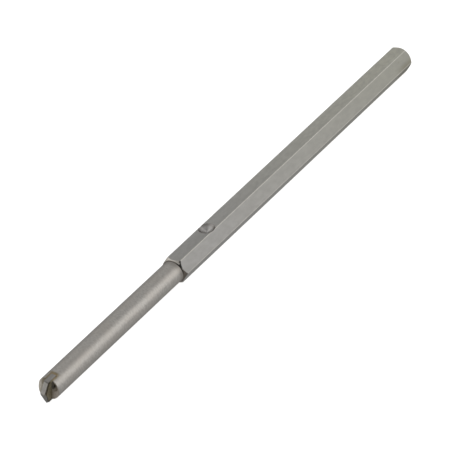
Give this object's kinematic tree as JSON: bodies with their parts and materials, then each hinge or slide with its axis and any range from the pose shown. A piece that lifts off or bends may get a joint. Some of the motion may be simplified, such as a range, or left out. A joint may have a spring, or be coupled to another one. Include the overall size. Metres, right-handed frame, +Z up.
{
  "type": "carbide-tipped hexagon punch bit",
  "caption": "Long hexagon steel bit with a turned round nose, a brazed carbide point plate across its front and a conical seat in one flat.",
  "frame": {"origin": "on the bench under the bar, at the middle of the whole length from point to rear face", "axes": "+X from the point to the rear face along the bar, +Z up through the flat that carries the conical seat"},
  "size_m": [0.2504, 0.0114, 0.01],
  "materials": {
    "bar_steel": "drawn hexagon, turned and ground nose",
    "carbide": "ground tungsten carbide",
    "braze": "dressed braze filler"
  },
  "bodies": {
    "root": {"steel_bar": "bar_steel", "carbide_plate": "carbide", "braze_filler": "braze"}
  },
  "joints": []
}
